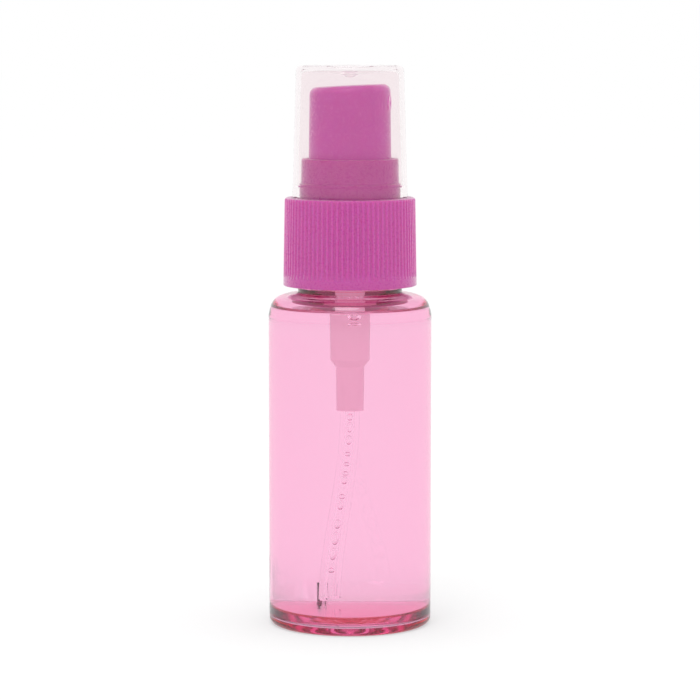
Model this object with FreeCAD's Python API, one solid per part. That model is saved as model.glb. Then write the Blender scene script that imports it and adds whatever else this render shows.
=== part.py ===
import FreeCAD, Part
import math
import os

# A 30 ml fine-mist perfume bottle with a screw-on spray pump and a clear overcap.
# Z is up, the origin is the centre of the footprint, and the nozzle points along +X.
# All lengths are in millimetres.

# Bottle: a 20-410 neck on a 30 ml cylinder
bottle_diameter = 29.4
side_wall = 0.9
heel_radius = 1.3
contact_ring_width = 1.2
push_up_height = 1.9
push_up_ramp = 1.6
base_thickness = 1.4
notch_width = 2.5
notch_height = 2.7
notch_depth = 1.6
notch_direction = 122.0
side_top = 56.3
shoulder_top = 60.4
neck_top = 73.4
neck_root_diameter = 17.6
neck_bore_diameter = 14.6
fill_level = 57.5

# Screw thread, right-handed, 8 turns per inch
thread_diameter = 19.7
thread_pitch = 3.175
thread_turns = 1.5
thread_play = 0.25

# Closure with its tower
closure_bottom = 61.6
closure_diameter = 24.04
closure_top_diameter = 23.5
deck_top = 77.4
well_floor = 76.95
deck_thickness = 1.4
tower_top = 84.4
tower_diameter = 17.5
tower_band_diameter = 18.12
tower_bore_diameter = 15.5
rib_count = 80
rib_bottom = 63.2
rib_top = 76.9

# Overcap
overcap_top = 101.1
overcap_mouth_diameter = 20.76
overcap_top_diameter = 19.4
overcap_fit = 0.05

# Button and nozzle
button_bottom = 81.8
button_bottom_diameter = 14.9
button_top_diameter = 14.48
button_front_height = 97.8
button_back_height = 97.1
nozzle_height = 94.35
nozzle_diameter = 3.0
orifice_diameter = 0.4

# Pump
gasket_thickness = 0.9
flange_thickness = 1.2
flange_diameter = 18.6
barrel_bore_diameter = 4.0
barrel_diameter = 5.2
barrel_bottom = 48.5
socket_bottom = 39.3
stem_diameter = 3.0
stem_top = 88.0
running_fit = 0.04
ball_diameter = 2.2
return_spring_bottom = 52.2
return_spring_top = 61.6
wire_diameter = 0.3

# Dip tube
tube_diameter = 2.6
tube_bore_diameter = 1.1
tube_end = 3.6
tube_reach = 5.4
tube_drift_direction = 127.6

# Derived sizes
bottle_radius = bottle_diameter / 2
inner_radius = bottle_radius - side_wall
neck_radius = neck_root_diameter / 2
neck_bore = neck_bore_diameter / 2
thread_radius = thread_diameter / 2
flange_bottom = neck_top + gasket_thickness
flange_top = flange_bottom + flange_thickness
deck_bottom = well_floor - deck_thickness
bore = barrel_bore_diameter / 2
stem_radius = stem_diameter / 2
cup_floor = 70.1
cup_bore = 5.6
cup_radius = neck_bore - 0.4
thread_start = neck_top - 2.6 - thread_pitch * thread_turns
thread_lift = thread_pitch * thread_turns


def point(radius, height):
    return FreeCAD.Vector(radius, 0, height)


def line(start, end):
    return Part.makeLine(point(*start), point(*end))


def arc(start, middle, end):
    return Part.Arc(point(*start), point(*middle), point(*end)).toShape()


def spline(places, first_direction, last_direction):
    curve = Part.BSplineCurve()
    curve.interpolate(
        Points=[point(*place) for place in places],
        InitialTangent=point(*first_direction),
        FinalTangent=point(*last_direction),
    )
    return curve.toShape()


def lathe(edges):
    face = Part.Face(Part.Wire(edges))
    return face.revolve(FreeCAD.Vector(0, 0, 0), FreeCAD.Vector(0, 0, 1), 360)


def turned(places):
    corners = [point(*place) for place in places]
    corners.append(corners[0])
    face = Part.Face(Part.makePolygon(corners))
    return face.revolve(FreeCAD.Vector(0, 0, 0), FreeCAD.Vector(0, 0, 1), 360)


def ring(inner, outer, bottom, top):
    solid = Part.makeCylinder(outer, top - bottom, FreeCAD.Vector(0, 0, bottom))
    if inner > 0:
        hole = Part.makeCylinder(inner, top - bottom + 2, FreeCAD.Vector(0, 0, bottom - 1))
        solid = solid.cut(hole)
    return solid


def rod(radius, start, end):
    direction = end.sub(start)
    return Part.makeCylinder(radius, direction.Length, start, direction)


def swept(path, radius):
    start = path.Edges[0].valueAt(path.Edges[0].FirstParameter)
    heading = path.Edges[0].tangentAt(path.Edges[0].FirstParameter)
    outline = Part.Wire(Part.makeCircle(radius, start, heading))
    return path.makePipeShell([outline], True, False)


def thread_ridge(root, crest, start, turns):
    # A ridge with sloping flanks along a right-handed helix, pointing in or out
    helix = Part.makeHelix(thread_pitch, thread_pitch * turns, root)
    corners = [
        FreeCAD.Vector(root, 0, -0.6),
        FreeCAD.Vector(crest, 0, -0.3),
        FreeCAD.Vector(crest, 0, 0.3),
        FreeCAD.Vector(root, 0, 0.6),
    ]
    corners.append(corners[0])
    ridge = Part.Wire(helix).makePipeShell([Part.makePolygon(corners)], True, True)
    ridge.translate(FreeCAD.Vector(0, 0, start))
    return ridge


def coil_path(mean_radius, bottom, top, wire, open_turns):
    # One closed turn at each end and evenly spaced open turns between them
    closed_rise = wire * 1.04
    low = bottom + wire / 2
    high = top - wire / 2
    open_rise = (high - low - 2 * closed_rise) / open_turns
    steps = 16
    places = []
    total = int(steps * (open_turns + 2))
    for index in range(total + 1):
        turn = index / steps
        if turn <= 1:
            height = low + closed_rise * turn
        elif turn <= 1 + open_turns:
            height = low + closed_rise + open_rise * (turn - 1)
        else:
            height = low + closed_rise * (turn - open_turns) + open_rise * open_turns
        angle = 2 * math.pi * turn
        across = mean_radius * math.cos(angle)
        along = mean_radius * math.sin(angle)
        places.append(FreeCAD.Vector(across, along, height))
    curve = Part.BSplineCurve()
    curve.interpolate(places)
    return Part.Wire(curve.toShape())


def bottle_outside():
    ring_outer = bottle_radius - heel_radius
    ring_inner = ring_outer - contact_ring_width
    ramp_top = ring_inner - push_up_ramp
    heel_middle = heel_radius * (1 - math.sqrt(0.5))
    shoulder = [
        (bottle_radius, side_top),
        (bottle_radius - 0.3, side_top + 1.3),
        (bottle_radius - 0.66, side_top + 2.2),
        (bottle_radius - 1.4, side_top + 3.05),
        (bottle_radius - 2.5, side_top + 3.55),
        (bottle_radius - 3.8, side_top + 3.85),
        (neck_radius + 0.6, shoulder_top),
    ]
    return lathe([
        arc((0, push_up_height), (ramp_top / 2, push_up_height - 0.08), (ramp_top, push_up_height - 0.3)),
        line((ramp_top, push_up_height - 0.3), (ring_inner, 0)),
        line((ring_inner, 0), (ring_outer, 0)),
        arc((ring_outer, 0), (bottle_radius - heel_middle, heel_middle), (bottle_radius, heel_radius)),
        line((bottle_radius, heel_radius), (bottle_radius, side_top)),
        spline(shoulder, (0, 1), (-1, 0.1)),
        line((neck_radius + 0.6, shoulder_top), (neck_radius + 0.6, shoulder_top + 0.9)),
        line((neck_radius + 0.6, shoulder_top + 0.9), (neck_radius, shoulder_top + 1.5)),
        line((neck_radius, shoulder_top + 1.5), (neck_radius, neck_top - 0.3)),
        line((neck_radius, neck_top - 0.3), (neck_radius - 0.3, neck_top)),
        line((neck_radius - 0.3, neck_top), (0, neck_top)),
        line((0, neck_top), (0, push_up_height)),
    ])


def index_notch(extra):
    # The small arched recess in the heel that turns the bottle the right way for printing
    half = notch_width / 2 + extra
    spring_line = notch_height - notch_width / 2
    bottom = bottle_radius - notch_depth - extra
    notch = Part.makeBox(5, 2 * half, spring_line + 2, FreeCAD.Vector(bottom, -half, -2))
    start = FreeCAD.Vector(bottom, 0, spring_line)
    end = FreeCAD.Vector(bottom + 5, 0, spring_line)
    notch = notch.fuse(rod(half, start, end))
    notch.rotate(FreeCAD.Vector(0, 0, 0), FreeCAD.Vector(0, 0, 1), notch_direction)
    return notch


def bottle_cavity():
    dome = push_up_height + base_thickness
    corner = heel_radius - side_wall + 0.3
    floor_edge = inner_radius - corner
    floor_low = base_thickness
    ramp_low = bottle_radius - heel_radius - contact_ring_width + 0.5
    ramp_top = ramp_low - push_up_ramp
    bend = corner * (1 - math.sqrt(0.5))
    heel_top = floor_low + corner
    shoulder = [
        (inner_radius, side_top - 1.2),
        (inner_radius - 0.4, side_top + 0.9),
        (inner_radius - 1.2, side_top + 1.95),
        (inner_radius - 2.4, side_top + 2.55),
        (inner_radius - 4.2, side_top + 3.0),
        (neck_bore + 0.9, side_top + 3.6),
        (neck_bore, shoulder_top + 1.4),
    ]
    above = neck_top + 1
    cavity = lathe([
        arc((0, dome), (ramp_top / 2, dome - 0.08), (ramp_top, dome - 0.3)),
        line((ramp_top, dome - 0.3), (ramp_low, floor_low)),
        line((ramp_low, floor_low), (floor_edge, floor_low)),
        arc((floor_edge, floor_low), (inner_radius - bend, floor_low + bend), (inner_radius, heel_top)),
        line((inner_radius, heel_top), (inner_radius, side_top - 1.2)),
        spline(shoulder, (0, 1), (0, 1)),
        line((neck_bore, shoulder_top + 1.4), (neck_bore, above)),
        line((neck_bore, above), (0, above)),
        line((0, above), (0, dome)),
    ])
    return cavity.cut(index_notch(side_wall))


def make_bottle():
    body = bottle_outside().cut(bottle_cavity()).cut(index_notch(0))
    ridge = thread_ridge(neck_radius - 0.1, thread_radius, thread_start, thread_turns)
    return body.fuse(ridge)


def make_liquid():
    room = Part.makeCylinder(bottle_radius, fill_level)
    liquid = bottle_cavity().common(room)
    liquid = liquid.cut(housing_outside(0.05))
    return liquid.cut(tube_channel())


def tube_channel():
    # A slot round the dip tube, wide enough for the pump to be screwed out
    gap = tube_diameter / 2 + 0.2
    depth = tube_end - 1
    steps = 8
    near = []
    far = []
    for index in range(steps + 1):
        height = socket_bottom + 1 - (socket_bottom + 1 - depth) * index / steps
        near.append((tube_drift(height) - gap, height))
        far.append((tube_drift(height - thread_lift) + gap, height))
    near_side = Part.BSplineCurve()
    near_side.interpolate([point(*place) for place in near])
    far_side = Part.BSplineCurve()
    far_side.interpolate([point(*place) for place in far])
    edges = [
        near_side.toShape(),
        line(near[-1], far[-1]),
        far_side.toShape(),
        line(far[0], near[0]),
    ]
    slot = Part.Face(Part.Wire(edges)).extrude(FreeCAD.Vector(0, 2 * gap, 0))
    slot.translate(FreeCAD.Vector(0, -gap, 0))
    slot.rotate(FreeCAD.Vector(0, 0, 0), FreeCAD.Vector(0, 0, 1), tube_drift_direction)
    return slot


def housing_outside(extra):
    taper_bottom = barrel_bottom - 1.3
    return turned([
        (0, socket_bottom - extra),
        (1.8 + extra, socket_bottom - extra),
        (1.88 + extra, taper_bottom),
        (barrel_diameter / 2 + extra, barrel_bottom),
        (barrel_diameter / 2 + 0.2 + extra, 66.5),
        (cup_radius + extra, 69.0),
        (cup_radius + extra, flange_bottom),
        (flange_diameter / 2 + extra, flange_bottom),
        (flange_diameter / 2 + extra, flange_top),
        (0, flange_top),
    ])


def make_housing():
    seat_top = 49.3
    seat_bottom = 48.2
    inlet = 0.65
    socket_top = 46.7
    hollow = turned([
        (0, socket_bottom - 1),
        (tube_diameter / 2, socket_bottom - 1),
        (tube_diameter / 2, socket_top),
        (inlet, socket_top),
        (inlet, seat_bottom),
        (bore, seat_top),
        (bore, cup_floor),
        (cup_bore, cup_floor),
        (cup_bore, flange_top + 1),
        (0, flange_top + 1),
    ])
    housing = housing_outside(0).cut(hollow)
    # Four ribs guide the ball, stop it from lifting away and carry the spring
    ball_way = ball_diameter / 2 + 0.1
    for index in range(4):
        rib = Part.makeBox(bore + 0.3 - ball_way, 0.6, return_spring_bottom - seat_bottom - 0.4)
        rib.translate(FreeCAD.Vector(ball_way, -0.3, seat_bottom + 0.4))
        stop = Part.makeBox(bore + 0.3 - 0.8, 0.6, 1.3)
        stop.translate(FreeCAD.Vector(0.8, -0.3, return_spring_bottom - 1.3))
        rib = rib.fuse(stop)
        rib.rotate(FreeCAD.Vector(0, 0, 0), FreeCAD.Vector(0, 0, 1), 45 + 90 * index)
        housing = housing.fuse(rib)
    vent_height = 67.6
    vent = rod(0.35, FreeCAD.Vector(0, 0, vent_height), FreeCAD.Vector(-8, 0, vent_height))
    return housing.cut(vent)


def make_gasket():
    return ring(cup_radius + 0.02, flange_diameter / 2, neck_top, flange_bottom)


def make_stem_guide():
    sleeve = stem_radius + running_fit
    rim = cup_bore + 0.35
    wall = cup_bore - 0.02
    return turned([
        (sleeve, cup_floor),
        (wall, cup_floor),
        (wall, flange_top),
        (rim, flange_top),
        (rim, well_floor),
        (wall - 0.4, well_floor + 0.6),
        (wall - 0.9, well_floor + 0.6),
        (wall - 0.9, cup_floor + 1.2),
        (sleeve + 0.9, cup_floor + 1.2),
        (sleeve + 0.9, well_floor + 0.6),
        (sleeve + 0.15, well_floor + 0.6),
        (sleeve, well_floor + 0.3),
    ])


def make_stem():
    slim = 1.1
    head_top = return_spring_top + 0.8
    outside = turned([
        (0, return_spring_top - 0.8),
        (0.9, return_spring_top - 0.8),
        (1.05, return_spring_top),
        (1.6, return_spring_top),
        (1.6, head_top),
        (slim, head_top),
        (slim, 69.0),
        (1.8, 69.0),
        (1.8, cup_floor),
        (stem_radius, cup_floor),
        (stem_radius, stem_top - 0.3),
        (stem_radius - 0.3, stem_top),
        (0, stem_top),
    ])
    passage = turned([
        (0, head_top),
        (0.55, head_top),
        (0.55, 69.5),
        (0.8, 70.5),
        (0.8, stem_top + 1),
        (0, stem_top + 1),
    ])
    stem = outside.cut(passage)
    for across, along in ((3, 0), (0, 3)):
        start = FreeCAD.Vector(-across, -along, head_top + 0.4)
        end = FreeCAD.Vector(across, along, head_top + 0.4)
        stem = stem.cut(rod(0.3, start, end))
    return stem


def make_piston():
    seat = return_spring_top + 0.82
    slim = 1.1 + running_fit
    lip = bore - running_fit
    return turned([
        (1.3, seat),
        (1.52, seat),
        (1.6, seat + 0.7),
        (lip, seat + 0.3),
        (lip, seat + 0.6),
        (1.75, seat + 1.3),
        (1.75, seat + 3.0),
        (lip, seat + 3.6),
        (lip, seat + 3.9),
        (1.66, seat + 3.9),
        (1.66, seat + 2.8),
        (slim, seat + 2.8),
        (slim, seat + 1.0),
        (1.3, seat + 0.8),
    ])


def make_return_spring():
    path = coil_path(1.35, return_spring_bottom, return_spring_top, wire_diameter, 6)
    return swept(path, wire_diameter / 2)


def make_valve_spring():
    wire = 0.22
    bottom = return_spring_top + 0.82 + 2.8
    path = coil_path(1.42, bottom, 69.0, wire, 4)
    return swept(path, wire / 2)


def make_ball():
    return Part.makeSphere(ball_diameter / 2, FreeCAD.Vector(0, 0, 49.11))


def tube_drift(height):
    # The sideways drift of the tube's centre line, easing in and out
    along = (socket_bottom - height) / (socket_bottom - tube_end)
    along = min(max(along, 0), 1)
    return tube_reach * along * along * (3 - 2 * along)


def tube_path():
    places = []
    steps = 10
    for index in range(steps + 1):
        height = socket_bottom + (tube_end - socket_bottom) * index / steps
        places.append(point(tube_drift(height), height))
    curve = Part.BSplineCurve()
    down = FreeCAD.Vector(0, 0, -1)
    curve.interpolate(Points=places, InitialTangent=down, FinalTangent=down)
    straight = Part.makeLine(point(0, socket_bottom + 7.2), places[0])
    return Part.Wire([straight, curve.toShape()])


def make_dip_tube():
    outside = swept(tube_path(), tube_diameter / 2)
    inside = swept(tube_path(), tube_bore_diameter / 2)
    tube = outside.cut(inside)
    # The lower end is cut on the slant so that it cannot seal against the base
    slant = Part.makeBox(10, 10, 10, FreeCAD.Vector(-5, -5, -10))
    slant.rotate(FreeCAD.Vector(0, 0, 0), FreeCAD.Vector(0, 1, 0), 25)
    slant.translate(point(tube_reach, tube_end + 0.7))
    tube = tube.cut(slant)
    tube.rotate(FreeCAD.Vector(0, 0, 0), FreeCAD.Vector(0, 0, 1), tube_drift_direction)
    return tube


def closure_outside():
    bottom = closure_diameter / 2
    top = closure_top_diameter / 2
    tower = tower_diameter / 2
    band = tower_band_diameter / 2
    return lathe([
        line((0, closure_bottom), (bottom - 0.15, closure_bottom)),
        line((bottom - 0.15, closure_bottom), (bottom, closure_bottom + 0.2)),
        line((bottom, closure_bottom + 0.2), (bottom - 0.02, rib_bottom)),
        line((bottom - 0.02, rib_bottom), (top, rib_top)),
        arc((top, rib_top), (top - 0.17, rib_top + 0.34), (top - 0.55, deck_top)),
        line((top - 0.55, deck_top), (band, deck_top)),
        line((band, deck_top), (band, deck_top + 2.5)),
        line((band, deck_top + 2.5), (tower + 0.04, deck_top + 2.6)),
        line((tower + 0.04, deck_top + 2.6), (tower - 0.05, tower_top - 0.3)),
        arc((tower - 0.05, tower_top - 0.3), (tower - 0.14, tower_top - 0.09), (tower - 0.35, tower_top)),
        line((tower - 0.35, tower_top), (0, tower_top)),
        line((0, tower_top), (0, closure_bottom)),
    ])


def make_closure():
    skirt_bore = thread_radius + thread_play
    deck_hole = cup_bore + 0.7
    hollow = turned([
        (0, closure_bottom - 1),
        (skirt_bore + 0.7, closure_bottom - 1),
        (skirt_bore + 0.7, closure_bottom + 0.4),
        (skirt_bore, closure_bottom + 1.6),
        (skirt_bore, deck_bottom),
        (0, deck_bottom),
    ])
    closure = closure_outside().cut(hollow)
    closure = closure.cut(ring(0, deck_hole, deck_bottom - 1, deck_top + 1))
    closure = closure.cut(ring(0, tower_bore_diameter / 2, well_floor, tower_top + 1))
    closure = closure.cut(grip_grooves())
    # The inner thread sits half a pitch away from the neck's thread
    start = thread_start + thread_pitch / 2
    ridge = thread_ridge(skirt_bore + 0.1, neck_radius + thread_play, start, thread_turns - 0.25)
    return closure.fuse(ridge)


def grip_grooves():
    # Round-bottomed grooves between the ribs, leaning with the skirt's slight taper
    low = closure_diameter / 2 + 0.05
    high = closure_top_diameter / 2 + 0.05
    grooves = []
    for index in range(rib_count):
        angle = 2 * math.pi * index / rib_count
        cosine = math.cos(angle)
        sine = math.sin(angle)
        start = FreeCAD.Vector(low * cosine, low * sine, rib_bottom)
        end = FreeCAD.Vector(high * cosine, high * sine, rib_top + 0.3)
        grooves.append(rod(0.3, start, end))
    return Part.makeCompound(grooves)


def make_overcap():
    mouth = overcap_mouth_diameter / 2
    top = overcap_top_diameter / 2
    lip = tower_band_diameter / 2 + overcap_fit
    under = overcap_top - 0.85
    return lathe([
        line((lip, deck_top), (mouth - 0.1, deck_top)),
        arc((mouth - 0.1, deck_top), (mouth - 0.03, deck_top + 0.03), (mouth, deck_top + 0.1)),
        line((mouth, deck_top + 0.1), (top, overcap_top - 1.0)),
        arc((top, overcap_top - 1.0), (top - 0.29, overcap_top - 0.29), (top - 1.0, overcap_top)),
        line((top - 1.0, overcap_top), (2.2, overcap_top)),
        line((2.2, overcap_top), (1.3, overcap_top - 0.45)),
        line((1.3, overcap_top - 0.45), (0, overcap_top - 0.45)),
        line((0, overcap_top - 0.45), (0, under - 1.3)),
        line((0, under - 1.3), (1.1, under - 1.3)),
        line((1.1, under - 1.3), (1.6, under - 0.8)),
        line((1.6, under - 0.8), (1.6, under - 0.7)),
        line((1.6, under - 0.7), (top - 1.9, under)),
        arc((top - 1.9, under), (top - 1.25, under - 0.2), (top - 0.97, under - 0.9)),
        line((top - 0.97, under - 0.9), (lip + 0.22, deck_top + 2.25)),
        line((lip + 0.22, deck_top + 2.25), (lip, deck_top + 1.95)),
        line((lip, deck_top + 1.95), (lip, deck_top)),
    ])


def button_outside():
    low = button_bottom_diameter / 2
    high = button_top_diameter / 2
    body = turned([
        (0, button_bottom),
        (low - 0.2, button_bottom),
        (low, button_bottom + 0.2),
        (high, button_front_height + 1),
        (0, button_front_height + 1),
    ])
    lean = math.degrees(math.atan2(button_front_height - button_back_height, 2 * high))
    middle = (button_front_height + button_back_height) / 2
    trim = Part.makeBox(30, 30, 10, FreeCAD.Vector(-15, -15, 0))
    trim.rotate(FreeCAD.Vector(0, 0, 0), FreeCAD.Vector(0, 1, 0), -lean)
    trim.translate(FreeCAD.Vector(0, 0, middle))
    body = body.cut(trim)
    rim = [edge for edge in body.Edges if edge.BoundBox.ZMin > button_back_height - 0.5]
    body = body.makeFillet(1.4, rim)
    # A shallow finger dish in the leaning top
    dish_depth = 0.35
    dish_width = 9.6
    ball = (dish_width * dish_width / 4 + dish_depth * dish_depth) / (2 * dish_depth)
    dish = Part.makeSphere(ball, FreeCAD.Vector(0, 0, ball - dish_depth))
    dish.rotate(FreeCAD.Vector(0, 0, 0), FreeCAD.Vector(0, 1, 0), -lean)
    dish.translate(FreeCAD.Vector(0, 0, middle))
    return body.cut(dish)


def make_actuator():
    reach = button_top_diameter / 2
    pocket_depth = 2.9
    roof = button_back_height - 2.0
    hollow = ring(2.7, button_bottom_diameter / 2 - 1.1, button_bottom - 1, roof)
    actuator = button_outside().cut(hollow)
    actuator = actuator.cut(ring(0, 2.8, button_bottom - 1, button_bottom + 1.6))
    # Four webs tie the stem socket to the skirt
    for index in range(4):
        web = Part.makeBox(3.9, 0.8, roof - button_bottom - 5.9)
        web.translate(FreeCAD.Vector(2.5, -0.4, button_bottom + 6))
        web.rotate(FreeCAD.Vector(0, 0, 0), FreeCAD.Vector(0, 0, 1), 45 + 90 * index)
        actuator = actuator.fuse(web)
    # The boss behind the nozzle, its pocket and the swirl post
    boss_start = FreeCAD.Vector(1, 0, nozzle_height)
    boss_end = FreeCAD.Vector(reach - 0.5, 0, nozzle_height)
    actuator = actuator.fuse(rod(nozzle_diameter / 2 + 0.9, boss_start, boss_end))
    pocket_start = FreeCAD.Vector(reach - pocket_depth, 0, nozzle_height)
    pocket_end = FreeCAD.Vector(reach + 2, 0, nozzle_height)
    pocket = rod(nozzle_diameter / 2, pocket_start, pocket_end)
    post_end = FreeCAD.Vector(reach - 0.65, 0, nozzle_height)
    pocket = pocket.cut(rod(0.9, pocket_start, post_end))
    actuator = actuator.cut(pocket)
    # The way for the liquid: stem socket, riser and feed to the pocket
    socket_radius = stem_radius + running_fit
    riser_top = nozzle_height - 0.8
    actuator = actuator.cut(ring(0, socket_radius, button_bottom, stem_top + 0.02))
    actuator = actuator.cut(ring(0, 0.7, stem_top - 1, riser_top))
    feed_start = FreeCAD.Vector(0, 0, riser_top - 0.4)
    feed_end = FreeCAD.Vector(reach - pocket_depth + 0.4, 0, riser_top - 0.4)
    return actuator.cut(rod(0.4, feed_start, feed_end))


def make_nozzle():
    reach = button_top_diameter / 2
    face = FreeCAD.Vector(reach + 0.06, 0, nozzle_height)
    front = FreeCAD.Vector(reach - 0.6, 0, nozzle_height)
    back = FreeCAD.Vector(reach - 2.5, 0, nozzle_height)
    insert = rod(nozzle_diameter / 2, back, face)
    insert = insert.cut(rod(0.94, back, front))
    orifice = rod(orifice_diameter / 2, front, face)
    mouth_start = FreeCAD.Vector(reach - 0.2, 0, nozzle_height)
    mouth = Part.makeCone(orifice_diameter / 2, 0.6, 0.3, mouth_start, FreeCAD.Vector(1, 0, 0))
    return insert.cut(orifice).cut(mouth)


makers = {
    "bottle": make_bottle,
    "perfume_fill": make_liquid,
    "pump_housing": make_housing,
    "neck_gasket": make_gasket,
    "stem_guide": make_stem_guide,
    "stem": make_stem,
    "piston": make_piston,
    "return_spring": make_return_spring,
    "valve_spring": make_valve_spring,
    "inlet_ball": make_ball,
    "dip_tube": make_dip_tube,
    "closure": make_closure,
    "overcap": make_overcap,
    "actuator": make_actuator,
    "nozzle_insert": make_nozzle,
}

os.makedirs("parts", exist_ok=True)
for name, maker in makers.items():
    shape = maker()
    box = shape.BoundBox
    shape.exportStep("parts/" + name + ".step")
    print(name, shape.isValid(), len(shape.Solids), round(shape.Volume, 1), round(box.ZMin, 2), round(box.ZMax, 2))
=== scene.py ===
import math
import random

import bmesh
import bpy
from mathutils import Matrix, Vector


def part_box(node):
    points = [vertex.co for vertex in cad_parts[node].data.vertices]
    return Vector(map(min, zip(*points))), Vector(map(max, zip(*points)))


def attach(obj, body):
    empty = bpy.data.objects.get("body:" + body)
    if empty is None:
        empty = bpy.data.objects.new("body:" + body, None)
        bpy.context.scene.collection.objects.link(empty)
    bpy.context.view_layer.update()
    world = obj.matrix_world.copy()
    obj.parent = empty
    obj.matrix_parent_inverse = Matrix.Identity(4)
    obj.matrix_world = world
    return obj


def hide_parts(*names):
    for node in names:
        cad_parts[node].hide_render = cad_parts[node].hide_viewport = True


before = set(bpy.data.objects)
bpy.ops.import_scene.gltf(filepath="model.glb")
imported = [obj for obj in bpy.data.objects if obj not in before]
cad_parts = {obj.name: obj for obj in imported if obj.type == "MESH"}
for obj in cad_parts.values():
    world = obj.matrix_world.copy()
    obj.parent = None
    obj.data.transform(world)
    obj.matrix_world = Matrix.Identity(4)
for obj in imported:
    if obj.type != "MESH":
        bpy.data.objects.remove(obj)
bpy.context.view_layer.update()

MM = 0.001
random.seed(7)


# ---------------------------------------------------------------- sizes
# Lengths below are in millimetres. The main ones come from the CAD boxes.
def size_of(node):
    low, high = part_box(node)
    return [v / MM for v in low], [v / MM for v in high]


bottle_hi = size_of("bottle")[1]
closure_lo, closure_hi = size_of("closure")
overcap_lo, overcap_hi = size_of("overcap")
housing_lo = size_of("pump_housing")[0]
fill_lo, fill_hi = size_of("perfume_fill")
tube_lo = size_of("dip_tube")[0]

bottle_r = bottle_hi[0]
neck_top = bottle_hi[2]
# The CAD bottle's side ends, and its shoulder meets the neck, this far below the rim
side_top = neck_top - 17.1
shoulder_top = neck_top - 13.0
inner_r = fill_hi[0]
fill_z = fill_hi[2]
closure_r = closure_hi[0]
closure_z = closure_lo[2]
tower_top = closure_hi[2]
deck_top = overcap_lo[2]
cap_top = overcap_hi[2]
cap_r = overcap_hi[0]
socket_z = housing_lo[2]

# Thread of the neck and closure
PITCH = 3.175
NECK_TURNS = 1.5
CLOSURE_TURNS = 1.25


# ---------------------------------------------------------------- mesh helpers
def arc(cx, cz, radius, start, stop, count):
    points = []
    for i in range(count + 1):
        a = math.radians(start + (stop - start) * i / count)
        points.append((cx + radius * math.cos(a), cz + radius * math.sin(a)))
    return points


def smooth_line(points, per=10):
    # A uniform Catmull-Rom curve through the given points
    out = []
    pts = [points[0]] + list(points) + [points[-1]]
    for i in range(1, len(pts) - 2):
        p0, p1, p2, p3 = pts[i - 1], pts[i], pts[i + 1], pts[i + 2]
        for k in range(per):
            t = k / per
            value = []
            for c in range(2):
                a = 2 * p1[c]
                b = p2[c] - p0[c]
                d = 2 * p0[c] - 5 * p1[c] + 4 * p2[c] - p3[c]
                e = -p0[c] + 3 * p1[c] - 3 * p2[c] + p3[c]
                value.append(0.5 * (a + b * t + d * t * t + e * t * t * t))
            out.append(tuple(value))
    out.append(points[-1])
    return out


def clean(points, gap=1e-4):
    out = [points[0]]
    for p in points[1:]:
        if math.hypot(p[0] - out[-1][0], p[1] - out[-1][1]) > gap:
            out.append(p)
    return out


def new_object(name, bm, mat, body, replaces=()):
    mesh = bpy.data.meshes.new(name)
    bm.to_mesh(mesh)
    bm.free()
    obj = bpy.data.objects.new(name, mesh)
    bpy.context.collection.objects.link(obj)
    mesh.materials.append(mat)
    if body:
        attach(obj, body)
    if replaces:
        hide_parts(*replaces)
    return obj


def shade(obj, degrees=30):
    for poly in obj.data.polygons:
        poly.use_smooth = True
    bm = bmesh.new()
    bm.from_mesh(obj.data)
    limit = math.radians(degrees)
    for edge in bm.edges:
        if len(edge.link_faces) == 2:
            edge.smooth = edge.calc_face_angle(0) < limit
    bm.to_mesh(obj.data)
    bm.free()


def lathe(name, rings, mat, body, replaces=(), count=192, wobble=None, sharp=30):
    # rings: closed or axis-to-axis list of (radius, height) in mm, outside first
    # wobble: moves one vertex, from (ring index, radius, height, angle) to (radius, height)
    rings = clean(rings)
    closed = rings[0][0] > 1e-6
    bm = bmesh.new()
    loops = []
    for index, (radius, height) in enumerate(rings):
        if radius < 1e-6:
            loops.append([bm.verts.new((0, 0, height * MM))])
            continue
        ring = []
        for k in range(count):
            angle = 2 * math.pi * k / count
            r, z = radius, height
            if wobble:
                r, z = wobble(index, radius, height, angle)
            place = (r * math.cos(angle) * MM, r * math.sin(angle) * MM, z * MM)
            ring.append(bm.verts.new(place))
        loops.append(ring)
    pairs = list(zip(range(len(loops) - 1), range(1, len(loops))))
    if closed:
        pairs.append((len(loops) - 1, 0))
    for a, b in pairs:
        la, lb = loops[a], loops[b]
        for k in range(count):
            n = (k + 1) % count
            if len(la) == 1 and len(lb) == 1:
                continue
            if len(la) == 1:
                bm.faces.new((la[0], lb[n], lb[k]))
            elif len(lb) == 1:
                bm.faces.new((la[k], la[n], lb[0]))
            else:
                bm.faces.new((la[k], la[n], lb[n], lb[k]))
    bmesh.ops.recalc_face_normals(bm, faces=bm.faces)
    obj = new_object(name, bm, mat, body, replaces)
    shade(obj, sharp)
    return obj


def thread(name, root, crest, start, turns, mat, body, node):
    # A sloping-flanked ridge along a right-handed helix, with closed ends
    bm = bmesh.new()
    section = [(root, -0.6), (crest, -0.3), (crest, 0.3), (root, 0.6)]
    per_turn = 96
    run_out = 8
    steps = int(per_turn * turns)
    rows = []
    for k in range(steps + 1):
        angle = 2 * math.pi * k / per_turn
        rise = start + PITCH * k / per_turn
        fade = min(1, k / run_out, (steps - k) / run_out) * 0.9 + 0.1
        row = []
        for radius, height in section:
            r = root + (radius - root) * fade
            place = (r * math.cos(angle) * MM, r * math.sin(angle) * MM, (rise + height) * MM)
            row.append(bm.verts.new(place))
        rows.append(row)
    for a, b in zip(rows, rows[1:]):
        for k in range(4):
            n = (k + 1) % 4
            bm.faces.new((a[k], a[n], b[n], b[k]))
    bm.faces.new(rows[0])
    bm.faces.new(rows[-1])
    bmesh.ops.recalc_face_normals(bm, faces=bm.faces)
    obj = new_object(name, bm, mat, body, (node,))
    shade(obj, 35)
    return obj


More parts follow.
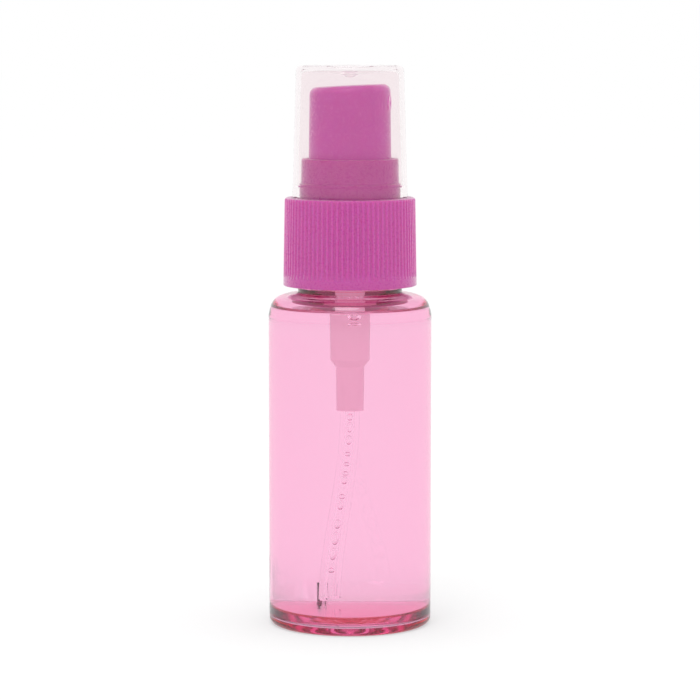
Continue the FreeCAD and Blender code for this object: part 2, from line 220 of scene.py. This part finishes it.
def add_bubbles(obj, places):
    # Closed shells inside the mesh that face inwards. Each is centre, radius across and
    # half height in mm, and a lean as an axis and an angle.
    bm = bmesh.new()
    bm.from_mesh(obj.data)
    for centre, across, half, lean in places:
        shell = bmesh.ops.create_icosphere(bm, subdivisions=4, radius=1.0)
        turn_to = Matrix.Rotation(lean[1], 4, lean[0])
        place = Matrix.Translation([c * MM for c in centre]) @ turn_to
        size = Matrix.Diagonal((across * MM, across * MM, half * MM, 1))
        bmesh.ops.transform(bm, matrix=place @ size, verts=shell["verts"])
        faces = {f for v in shell["verts"] for f in v.link_faces}
        bmesh.ops.reverse_faces(bm, faces=list(faces))
        for face in faces:
            face.smooth = True
    bm.to_mesh(obj.data)
    bm.free()


# ---------------------------------------------------------------- materials
def material(name):
    mat = bpy.data.materials.new(name)
    mat.use_nodes = True
    nodes = mat.node_tree.nodes
    return mat, nodes, mat.node_tree.links, nodes["Principled BSDF"]


def noise_node(nodes, links, scale, detail=3.0, rough=0.5, stretch=(1, 1, 1)):
    coords = nodes.new("ShaderNodeTexCoord")
    mapping = nodes.new("ShaderNodeMapping")
    mapping.inputs["Scale"].default_value = stretch
    links.new(coords.outputs["Object"], mapping.inputs["Vector"])
    tex = nodes.new("ShaderNodeTexNoise")
    tex.inputs["Scale"].default_value = scale
    tex.inputs["Detail"].default_value = detail
    tex.inputs["Roughness"].default_value = rough
    links.new(mapping.outputs["Vector"], tex.inputs["Vector"])
    return tex


def remap(nodes, links, source, low, high):
    # A noise texture's values mostly lie between 0.3 and 0.7
    node = nodes.new("ShaderNodeMapRange")
    node.inputs["From Min"].default_value = 0.3
    node.inputs["From Max"].default_value = 0.7
    node.inputs["To Min"].default_value = low
    node.inputs["To Max"].default_value = high
    links.new(source, node.inputs["Value"])
    return node.outputs["Result"]


def bump(nodes, links, bsdf, height, strength, distance):
    node = nodes.new("ShaderNodeBump")
    node.inputs["Strength"].default_value = strength
    node.inputs["Distance"].default_value = distance
    links.new(height, node.inputs["Height"])
    links.new(node.outputs["Normal"], bsdf.inputs["Normal"])


def clear_material(name, ior, low, high, colour=(1, 1, 1), tint=(1, 1, 1), absorb=None):
    # low and high: roughness; tint: colour of the reflection; absorb: volume colour, density
    mat, nodes, links, bsdf = material(name)
    bsdf.inputs["Base Color"].default_value = (*colour, 1)
    bsdf.inputs["Transmission Weight"].default_value = 1.0
    bsdf.inputs["IOR"].default_value = ior
    bsdf.inputs["Specular Tint"].default_value = (*tint, 1)
    tex = noise_node(nodes, links, 160.0, 3.0)
    links.new(remap(nodes, links, tex.outputs["Fac"], low, high), bsdf.inputs["Roughness"])
    if absorb:
        volume = nodes.new("ShaderNodeVolumeAbsorption")
        volume.inputs["Color"].default_value = (*absorb[0], 1)
        volume.inputs["Density"].default_value = absorb[1]
        links.new(volume.outputs["Volume"], nodes["Material Output"].inputs["Volume"])
    return mat


def plastic_material(name, colour, vary, low, high, grain, strength, subsurface=0.0,
                     radius=(1, 1, 1), painted_glow=None):
    # low and high: roughness; grain and strength: the bump; radius: of the subsurface
    # scattering, in mm; the last argument, emission colour and strength, is a painted glow that stands
    # in for light scattered through the plastic
    mat, nodes, links, bsdf = material(name)
    cloud = noise_node(nodes, links, 140.0, 4.0)
    mix = nodes.new("ShaderNodeMix")
    mix.data_type = "RGBA"
    mix.inputs["A"].default_value = (*colour, 1)
    mix.inputs["B"].default_value = (*[min(1, c * vary) for c in colour], 1)
    links.new(remap(nodes, links, cloud.outputs["Fac"], 0, 1), mix.inputs["Factor"])
    links.new(mix.outputs["Result"], bsdf.inputs["Base Color"])
    fine = noise_node(nodes, links, grain, 5.0)
    links.new(remap(nodes, links, fine.outputs["Fac"], low, high), bsdf.inputs["Roughness"])
    bump(nodes, links, bsdf, fine.outputs["Fac"], strength, 0.05 * MM)
    bsdf.inputs["IOR"].default_value = 1.49
    bsdf.inputs["Sheen Weight"].default_value = 0.6
    bsdf.inputs["Sheen Roughness"].default_value = 0.35
    # Painted glow: the plastic gives off light of its own, standing in for light scattered through it
    if painted_glow:
        bsdf.inputs["Emission Color"].default_value = (*painted_glow[0], 1)
        bsdf.inputs["Emission Strength"].default_value = painted_glow[1]
    if subsurface > 0:
        bsdf.inputs["Subsurface Weight"].default_value = subsurface
        bsdf.inputs["Subsurface Radius"].default_value = radius
        bsdf.inputs["Subsurface Scale"].default_value = MM
    return mat


PINK = (0.42, 0.064, 0.29)
SCATTER = (3.0, 0.3, 1.1)
CLEAR_PINK = ((0.94, 0.0, 0.50), 260.0)
DYE = ((0.85, 0.0, 0.45), 9.0)

# A closed mesh with a volume has one material only: Cycles matches a ray's way in and
# out by object and shader, and with two it would go on absorbing outside.
pet = clear_material("bottle_clear", 1.575, 0.0, 0.015, absorb=CLEAR_PINK)
liquid = clear_material("perfume_liquid", 1.36, 0.0, 0.004, tint=(0.78, 0.03, 0.30), absorb=DYE)
# Low index: the true one draws dark rims. The clear coat gives back its gloss.
cap_clear = clear_material("overcap_clear", 1.06, 0.05, 0.08, colour=(0.955, 0.90, 0.912))
cap_bsdf = cap_clear.node_tree.nodes["Principled BSDF"]
cap_bsdf.inputs["Coat Weight"].default_value = 0.5
cap_bsdf.inputs["Coat Roughness"].default_value = 0.06
# Low index: the tube stands in the liquid
tube_clear = clear_material("dip_tube_clear", 1.11, 0.0, 0.03)

# The emission colour and strength at the end of each call is a painted glow, standing in for light
# scattered through the pink plastics and the milky housing
pink = plastic_material(
    "pink_plastic", PINK, 0.95, 0.24, 0.34, 2600.0, 0.04, 0.5, SCATTER, ((0.42, 0.03, 0.20), 0.25))
pink_button = plastic_material(
    "pink_button", PINK, 0.96, 0.2, 0.3, 2200.0, 0.08, 0.5, SCATTER, ((0.5, 0.05, 0.33), 0.3))
pink_nozzle = plastic_material(
    "pink_nozzle", PINK, 0.92, 0.16, 0.25, 1800.0, 0.05, 0.5, SCATTER, ((0.55, 0.12, 0.38), 0.4))
milky = plastic_material(
    "milky_housing", (0.90, 0.66, 0.76), 0.96, 0.3, 0.42, 900.0, 0.06, painted_glow=((0.9, 0.50, 0.64), 0.5))
seal = plastic_material("soft_seal", (0.8, 0.8, 0.77), 0.93, 0.45, 0.6, 900.0, 0.1, 0.2)
inner = plastic_material("natural_moulding", (0.82, 0.8, 0.8), 0.95, 0.3, 0.45, 1200.0, 0.08, 0.3)

steel, s_nodes, s_links, s_bsdf = material("spring_wire")
s_bsdf.inputs["Base Color"].default_value = (0.62, 0.62, 0.63, 1)
s_bsdf.inputs["Metallic"].default_value = 1.0
s_tex = noise_node(s_nodes, s_links, 1500.0, 4.0, 0.6, (1, 1, 6))
s_links.new(remap(s_nodes, s_links, s_tex.outputs["Fac"], 0.18, 0.38), s_bsdf.inputs["Roughness"])
bump(s_nodes, s_links, s_bsdf, s_tex.outputs["Fac"], 0.15, 0.02 * MM)


# ---------------------------------------------------------------- bottle
heel = 1.3
ring_out = bottle_r - heel
ring_in = ring_out - 1.2
push_up = 1.9
ramp = 1.6
base = fill_lo[2]
neck_r = 8.8
neck_bore = 7.3
wall = bottle_r - inner_r
corner = heel - wall + 0.3
floor_edge = inner_r - corner
ramp_low = ring_in + 0.5

# The index notch: a small arched recess in the heel
NOTCH_HEADING = 115.0
NOTCH_DEPTH = 0.8
NOTCH_HALF = 1.1
NOTCH_TOP = 2.4
NOTCH_BLEND = 0.5


def ramp_line(foot, low, high):
    # From the axis over the shallow dome and down the ramp, with rounded bends
    top = foot - ramp
    drop = high - 0.3 - low
    bend = smooth_line([
        (top - 0.5, high - 0.27), (top - 0.1, high - 0.33), (top + 0.3, low + drop * 0.86)], 5)
    toe = smooth_line([
        (foot - 0.35, low + drop * 0.175), (foot, low + 0.04), (foot + 0.35, low)], 5)
    dome = smooth_line([
        (0, high), (top * 0.33, high - 0.03), (top * 0.66, high - 0.12), bend[0]], 5)
    return dome[:-1] + bend + toe


flare = [
    (neck_bore, 61.0), (neck_bore + 0.35, 60.4), (neck_bore + 0.9, 59.9), (inner_r - 4.2, 59.3),
    (inner_r - 2.4, 58.85), (inner_r - 1.2, 58.25), (inner_r - 0.4, 57.2), (inner_r, 55.1)]
outer = ramp_line(ring_in, 0, push_up)
outer += [(ring_in + (ring_out - ring_in) * k / 4, 0) for k in range(1, 4)]
outer += arc(ring_out, heel, heel, -90, 0, 40)
outer += [(bottle_r, heel + 0.12 * k) for k in range(1, 8)]
outer += [(bottle_r, heel + (side_top - heel) * k / 12) for k in range(1, 12)]
outer += smooth_line([
    (bottle_r, side_top - 0.5), (bottle_r, side_top), (bottle_r - 0.3, side_top + 1.3),
    (bottle_r - 0.66, side_top + 2.2), (bottle_r - 1.4, side_top + 3.05),
    (bottle_r - 2.5, side_top + 3.55), (bottle_r - 3.8, side_top + 3.85),
    (neck_r + 0.75, shoulder_top - 0.03), (neck_r + 0.6, shoulder_top + 0.12)], 8)
outer += [
    (neck_r + 0.6, shoulder_top + 0.9), (neck_r, shoulder_top + 1.5),
    (neck_r, neck_top - 0.3), (neck_r - 0.3, neck_top)]
# Rings from this index on are the inside, which the liquid follows
wet_from = len(clean(outer))
flare_low = flare[-1][1]
inside = [
    (neck_bore + 0.15, neck_top), (neck_bore, neck_top - 0.15), (neck_bore, shoulder_top + 2.5)]
side_run = [(inner_r, flare_low - 3.0), (inner_r, flare_low - 5.0)]
inside += smooth_line([(neck_bore, shoulder_top + 0.5)] + flare + side_run, 8)
low_side = base + corner + 0.9
inside += [(inner_r, low_side + (flare_low - 5.0 - low_side) * k / 12) for k in range(11, 0, -1)]
inside += [(inner_r, base + corner + 0.12 * k) for k in range(8, 0, -1)]
inside += arc(floor_edge, base + corner, corner, 0, -90, 36)
inside += [(floor_edge + (ramp_low - floor_edge) * k / 4, base) for k in range(1, 3)]
inside += list(reversed(ramp_line(ramp_low, base, push_up + base)))
profile = clean(outer + inside)


def index_notch(index, radius, height, angle, depth=NOTCH_DEPTH):
    # Press the recess into the heel; the wall keeps its thickness
    extra = wall if index >= wet_from else 0
    turn_to = angle - math.radians(NOTCH_HEADING)
    across = radius * math.sin(turn_to)
    along = radius * math.cos(turn_to)
    bottom = bottle_r - depth - extra
    reach = NOTCH_HALF + extra
    spring_line = NOTCH_TOP - NOTCH_HALF
    if along <= bottom or height > 8:
        return radius, height
    rise = max(0, height - spring_line)
    distance = math.hypot(across, rise) - reach
    blend = min(1, max(0, 0.5 - distance / NOTCH_BLEND))
    blend = blend * blend * (3 - 2 * blend)
    along += (bottom - along) * blend
    return math.hypot(along, across), height


lathe("bottle_body", profile, pet, "bottle", ("bottle",), 768, index_notch)

# ---------------------------------------------------------------- perfume
# The liquid reaches this far into the bottle's wall, so no gap shows between them
lap = 0.05
barrel_r = 2.66
walls = [(r, z) for r, z in profile[wet_from:] if z < fill_z - 0.02]
for (r0, z0), (r1, z1) in zip(profile[wet_from:], profile[wet_from + 1:]):
    if z0 >= fill_z >= z1:
        t = (z0 - fill_z) / (z0 - z1)
        top_r = r0 + (r1 - r0) * t
meniscus = [
    (0, fill_z), (1.5, fill_z), (barrel_r - 0.1, fill_z + 0.3), (barrel_r + 0.1, fill_z + 0.22),
    (barrel_r + 0.5, fill_z + 0.06), (barrel_r + 1.1, fill_z), (top_r - 1.4, fill_z),
    (top_r - 0.7, fill_z + 0.06), (top_r - 0.3, fill_z + 0.2), (top_r - 0.05, fill_z + 0.42)]
wall_start = len(clean(meniscus))
wall_line = [(top_r + lap, fill_z + 0.42)]
for r, z in walls:
    wall_line.append((r + lap if r > 0.01 else 0, z - lap if r < floor_edge + 1.5 else z - 0.02))


def liquid_notch(index, radius, height, angle):
    if index < wall_start or radius < 0.01:
        return radius, height
    return index_notch(wet_from + index, radius, height, angle, NOTCH_DEPTH - lap)


perfume = lathe(
    "perfume", meniscus + wall_line, liquid, "bottle", ("perfume_fill",), 768, liquid_notch)


def tube_centre(height):
    # The dip tube eases sideways below its socket
    along = (socket_z - height) / (socket_z - tube_lo[2])
    drift = 5.4 * along * along * (3 - 2 * along)
    heading = math.radians(127.6)
    return drift * math.cos(heading), drift * math.sin(heading), height


# Air gaps stacked down the tube, then one larger bubble by the barrel and one by the wall
bubbles = []
across_z = Vector((1, 0, 0))
height = socket_z - 1.2
while height > 9:
    half = random.uniform(0.35, 1.3)
    low = Vector(tube_centre(height - half))
    high = Vector(tube_centre(height + half))
    along = (high - low).normalized()
    axis = Vector((0, 0, 1)).cross(along)
    tilt = Vector((0, 0, 1)).angle(along)
    lean = (axis if axis.length > 1e-5 else across_z, tilt)
    bubbles.append((tube_centre(height), 0.46, half, lean))
    height -= 2 * half + random.uniform(0.3, 1.8)
upright = (across_z, 0.0)
bubbles.append(((1.5, -4.4, fill_z - 1.35), 1.05, 0.95, upright))
bubbles.append(((-11.2, 3.4, fill_z - 0.9), 0.3, 0.3, upright))
add_bubbles(perfume, bubbles)

# ---------------------------------------------------------------- overcap
cap_top_r = cap_r - 0.68
cap_bore = 9.11
under = cap_top - 0.85
cap = [
    (cap_bore, deck_top), (cap_r - 0.1, deck_top), (cap_r - 0.03, deck_top + 0.03),
    (cap_r, deck_top + 0.1)]
for k in range(1, 8):
    cap.append((
        cap_r + (cap_top_r - cap_r) * k / 8, deck_top + 0.1 + (cap_top - 1.1 - deck_top) * k / 8))
cap += arc(cap_top_r - 1.0, cap_top - 1.0, 1.0, 0, 90, 12)
# The dimple on the top, and the gate nub under it
cap += smooth_line([
    (2.3, cap_top), (1.9, cap_top - 0.06), (1.3, cap_top - 0.4), (0.8, cap_top - 0.47),
    (0, cap_top - 0.5)], 5)
cap += smooth_line([
    (0, under - 1.35), (0.6, under - 1.28), (1.2, under - 0.95), (1.7, under - 0.7),
    (2.6, under - 0.58)], 5)
cap += [(5.0, under - 0.3)]
cap += arc(cap_top_r - 1.95, under - 1.0, 1.0, 80, 0, 8)
for k in range(1, 9):
    cap.append((
        cap_top_r - 0.95 + (cap_bore + 0.22 - cap_top_r + 0.95) * k / 8,
        under - 1.0 + (deck_top + 2.25 - under + 1.0) * k / 8))
cap += [(cap_bore, deck_top + 1.95)]
lathe("overcap_shell", cap, cap_clear, "overcap", ("overcap",))

# ---------------------------------------------------------------- closure
rib_low = closure_z + 1.6
rib_high = deck_top - 0.5
rib_top_r = closure_r - 0.27
rib_foot_r = closure_r - 0.03
ribs = 80
tower_r = 8.75
band_r = 9.06
body_rings = [
    (closure_r - 0.15, closure_z), (closure_r - 0.04, closure_z + 0.06), (closure_r, closure_z + 0.2),
    (closure_r - 0.02, rib_low - 0.1), (rib_foot_r, rib_low)]
for k in range(1, 15):
    body_rings.append((
        rib_foot_r + (rib_top_r - closure_r + 0.03) * k / 14, rib_low + (rib_high - rib_low) * k / 14))
body_rings += arc(rib_top_r - 0.5, rib_high, 0.5, 0, 90, 8)
body_rings += [
    (band_r + 0.12, deck_top), (band_r, deck_top + 0.1), (band_r, deck_top + 2.45),
    (band_r - 0.05, deck_top + 2.52), (tower_r + 0.04, deck_top + 2.6),
    (tower_r - 0.05, tower_top - 0.35)]
body_rings += arc(tower_r - 0.35, tower_top - 0.3, 0.3, 0, 90, 6)
# Down inside the tower, under the deck and down the skirt's bore
body_rings += [
    (7.9, tower_top), (7.75, tower_top - 0.15), (7.75, deck_top - 0.45), (6.3, deck_top - 0.45),
    (6.3, deck_top - 1.85), (10.1, deck_top - 1.85), (10.1, closure_z + 1.6), (10.8, closure_z + 0.4),
    (10.8, closure_z)]


def rib_wave(index, radius, height, angle):
    # Grooves with round flanks between the ribs, on the skirt's outside only
    if radius < max(rib_top_r - 0.7, 11.0) or height < rib_low - 0.01 or height > rib_high + 0.4:
        return radius, height
    fade = min(1, (height - rib_low) / 0.25)
    fade *= min(1, max(0, (rib_high + 0.45 - height) / 0.5))
    phase = (angle * ribs / (2 * math.pi)) % 1.0
    groove = max(0, 1 - abs(phase - 0.5) / 0.3)
    depth = 0.24 * math.sqrt(max(0, 1 - (1 - groove) ** 2)) if groove > 0 else 0
    return radius - depth * fade, height


lathe(
    "closure_shell", body_rings, pink, "closure", ("closure",), ribs * 12,
    rib_wave, 40)

thread_start = neck_top - 2.6 - PITCH * NECK_TURNS
thread(
    "neck_thread", neck_r - 0.05, 9.85, thread_start, NECK_TURNS, pet, "bottle",
    "bottle")
thread(
    "closure_thread", 10.15, 9.05, thread_start + PITCH / 2, CLOSURE_TURNS, pink, "closure",
    "closure")

# ---------------------------------------------------------------- carried CAD nodes
finish = {
    "actuator": pink_button,
    "nozzle_insert": pink_nozzle,
    "pump_housing": milky,
    "neck_gasket": seal,
    "stem_guide": inner,
    "stem": inner,
    "piston": seal,
    "return_spring": steel,
    "valve_spring": steel,
    "inlet_ball": steel,
    "dip_tube": tube_clear,
}
for node, mat in finish.items():
    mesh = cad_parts[node].data
    mesh.materials.clear()
    mesh.materials.append(mat)

# ---------------------------------------------------------------- floor, light, camera
floor_bm = bmesh.new()
bmesh.ops.create_circle(floor_bm, cap_ends=True, segments=96, radius=6.0)
floor_mat, _, _, f_bsdf = material("studio_floor")
f_bsdf.inputs["Base Color"].default_value = (0.55, 0.55, 0.55, 1)
f_bsdf.inputs["Emission Color"].default_value = (1, 1, 1, 1)
f_bsdf.inputs["Emission Strength"].default_value = 0.45
f_bsdf.inputs["Roughness"].default_value = 0.9
f_bsdf.inputs["Specular IOR Level"].default_value = 0.0
floor = new_object("studio_floor", floor_bm, floor_mat, None)

world = bpy.data.worlds.new("studio")
bpy.context.scene.world = world
world.use_nodes = True
background = world.node_tree.nodes["Background"]
background.inputs["Color"].default_value = (1, 1, 1, 1)
background.inputs["Strength"].default_value = 1.0


key_place = Vector((0.0, -0.5, 0.95))
key_aim = Vector((0, 0, 0.05))
key_data = bpy.data.lights.new("key_softbox", "AREA")
key_data.shape = "RECTANGLE"
key_data.size = 0.5
key_data.size_y = 0.35
key_data.energy = 1.6
key = bpy.data.objects.new("key_softbox", key_data)
bpy.context.collection.objects.link(key)
key.location = key_place
key.rotation_mode = "QUATERNION"
key.rotation_quaternion = (key_aim - key_place).to_track_quat("-Z", "Y")

# The photograph's viewing angle
CAMERA_REACH = 0.541
CAMERA_HEIGHT = 0.10813
CAMERA_TURN = math.radians(11)
AIM_HEIGHT = 0.0498
camera_data = bpy.data.cameras.new("camera")
camera_data.sensor_width = 36
camera_data.lens = 154.8
camera = bpy.data.objects.new("camera", camera_data)
bpy.context.collection.objects.link(camera)
camera.location = (
    CAMERA_REACH * math.sin(CAMERA_TURN), -CAMERA_REACH * math.cos(CAMERA_TURN), CAMERA_HEIGHT)
camera.rotation_mode = "QUATERNION"
aim = Vector((0, 0, AIM_HEIGHT))
camera.rotation_quaternion = (aim - camera.location).to_track_quat("-Z", "Y")
bpy.context.scene.camera = camera

# Enough bounces for light through the overcap, bottle, liquid and tube
scene = bpy.context.scene
scene.view_settings.view_transform = "Standard"
scene.cycles.max_bounces = 32
scene.cycles.transmission_bounces = 28
scene.cycles.transparent_max_bounces = 16
scene.cycles.glossy_bounces = 12
